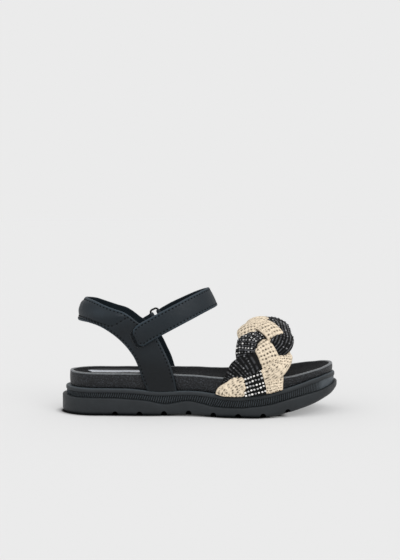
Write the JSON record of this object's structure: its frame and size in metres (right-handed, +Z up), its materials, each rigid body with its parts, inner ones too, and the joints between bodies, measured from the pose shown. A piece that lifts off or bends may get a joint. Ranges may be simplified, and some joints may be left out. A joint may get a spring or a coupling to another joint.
{
  "type": "braided sandal",
  "caption": "Platform sandal for a right foot: wavy grooved outsole, ribbed rand, wrapped footbed, heel strap, hook-and-loop instep strap and a broad four-ribbon braid over the toes.",
  "frame": {"origin": "on the floor, under the middle of the outsole's length and width", "axes": "+X towards the toe, +Y towards the inner side of the foot, +Z up"},
  "size_m": [0.216, 0.0885, 0.097],
  "materials": {
    "outsole": "moulded, dull satin",
    "rand": "moulded, satin band over a finely ribbed strip",
    "footbed_cover": "grained, matte",
    "insole_sock": "grained, with a glossy heel patch",
    "strap_leather": "smooth, matte, with black topstitching",
    "patch": "hook-and-loop pile",
    "ring": "black, satin",
    "braid": "crocheted raffia ribbons and black ribbons with silver beads"
  },
  "bodies": {
    "root": {"outsole": "outsole", "rand": "rand", "footbed": "footbed_cover", "insole": "insole_sock", "ankle_quarters": "strap_leather", "instep_strap": "strap_leather", "fastening_patch": "patch", "strap_ring": "ring", "ring_loop": "strap_leather", "braided_strap": "braid"}
  },
  "joints": []
}
